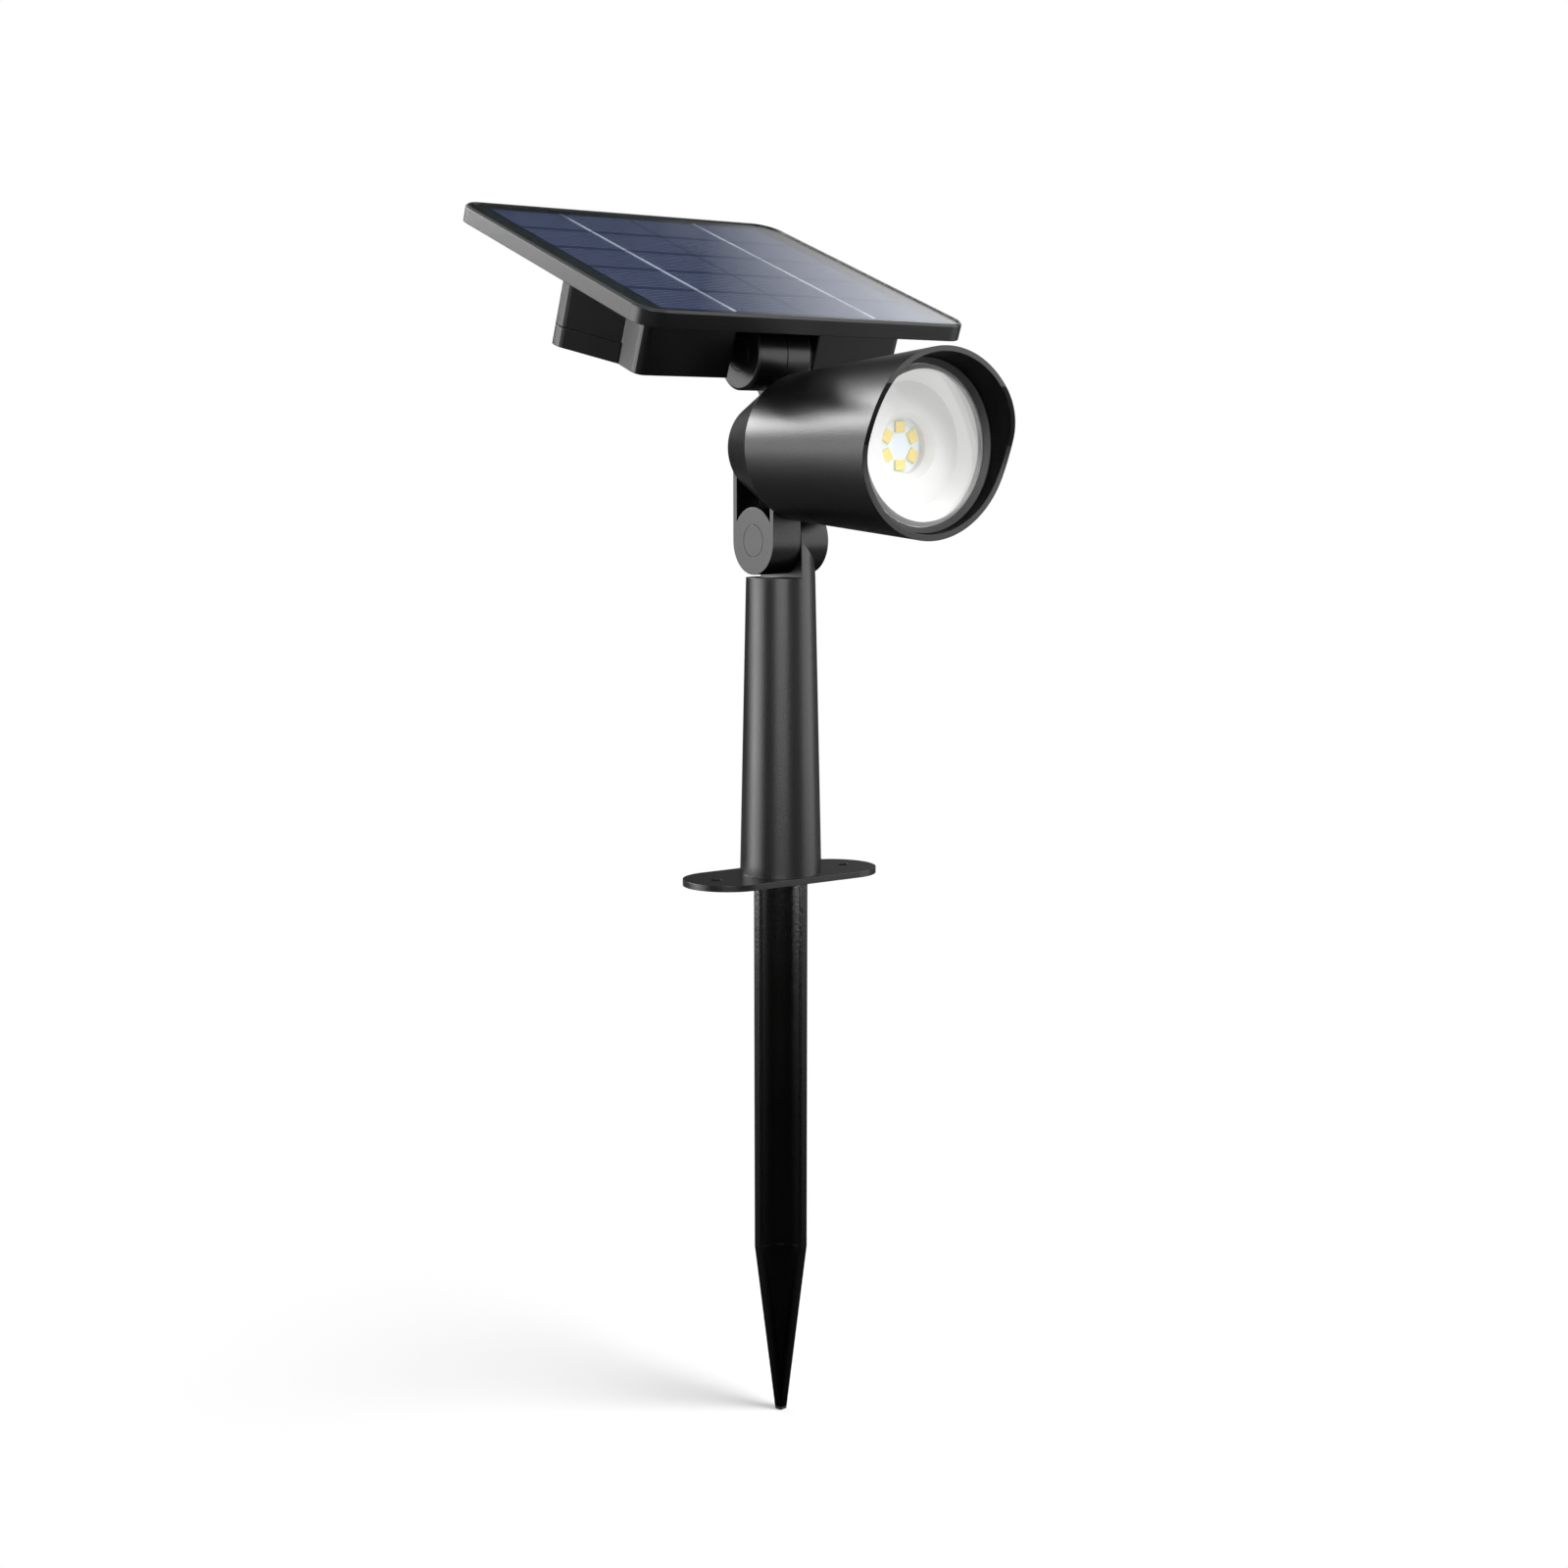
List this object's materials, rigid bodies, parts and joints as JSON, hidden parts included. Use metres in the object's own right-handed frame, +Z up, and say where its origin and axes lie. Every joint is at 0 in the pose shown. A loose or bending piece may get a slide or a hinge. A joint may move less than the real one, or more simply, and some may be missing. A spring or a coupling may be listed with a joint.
{
  "type": "light projector stake",
  "caption": "Solar garden spotlight: a tilting hooded lamp on a tapered post with a screw-down plate and finned ground spike, under a tilting solar panel with its battery case.",
  "frame": {"origin": "centre of the ground plate's underside, on the post's axis, midway between the two screw holes", "axes": "+Z up along the post, X along the plate's row of screw holes and along both hinge axes, the lamp points along -Y"},
  "size_m": [0.14, 0.1928, 0.4377],
  "materials": {
    "black_plastic": "fine satin grain",
    "spike_plastic": "smooth satin",
    "bezel_plastic": "satin",
    "steel": "zinc plated",
    "aluminium_plate": "stamped",
    "rubber": "matte",
    "clear_plastic": "clear, polished",
    "clear_cover": "clear, glossy",
    "white_plastic": "white, satin",
    "board_white": "white solder mask",
    "diode_yellow": "phosphor yellow",
    "dark_board": "green-black mask",
    "solar_cell": "dark blue, glossy",
    "ribbon_metal": "tinned ribbon",
    "battery_wrap": "shrink wrap",
    "circuit_green": "solder mask",
    "chip_black": "moulded epoxy",
    "button_rubber": "matte"
  },
  "bodies": {
    "stake": {"ground_spike": "spike_plastic", "post": "black_plastic", "lower_nut": "steel", "lower_far_cap": "black_plastic"},
    "lamp_head": {"lamp_housing": "black_plastic", "lower_bolt": "steel", "lower_washer": "rubber", "lower_near_cap": "black_plastic", "bezel_ring": "bezel_plastic", "front_lens": "clear_plastic", "lens_seal": "rubber", "reflector": "white_plastic", "light_board": "board_white", "light_diodes": "diode_yellow", "heat_sink": "aluminium_plate", "heat_sink_screws": "steel", "upper_nut": "steel", "upper_far_cap": "black_plastic"},
    "panel_unit": {"panel_housing": "black_plastic", "upper_bolt": "steel", "upper_washer": "rubber", "upper_near_cap": "black_plastic", "backing_board": "dark_board", "solar_cells": "solar_cell", "cell_ribbons": "ribbon_metal", "panel_cover": "clear_cover", "battery_lid": "black_plastic", "lid_seal": "rubber", "lid_screws": "steel", "battery": "battery_wrap", "battery_contacts": "steel", "control_board": "circuit_green", "board_parts": "chip_black", "board_screws": "steel", "push_switch": "chip_black"},
    "button": {"power_button": "button_rubber"}
  },
  "joints": [
    {"name": "lamp_tilt", "type": "hinge", "parent": "stake", "child": "lamp_head", "pos_m": [0, 0, 0.1198], "axis": [1, 0, 0], "range_deg": [-60, 50]},
    {"name": "panel_tilt", "type": "hinge", "parent": "lamp_head", "child": "panel_unit", "pos_m": [0, 0.008, 0.18404], "axis": [1, 0, 0], "range_deg": [-75, 15]},
    {"name": "button_press", "type": "slide", "parent": "panel_unit", "child": "button", "axis": [0, -0.3502, 0.9367], "range_m": [0, 0.001], "stiffness_N_per_m": 800, "springref_m": -0.001}
  ]
}
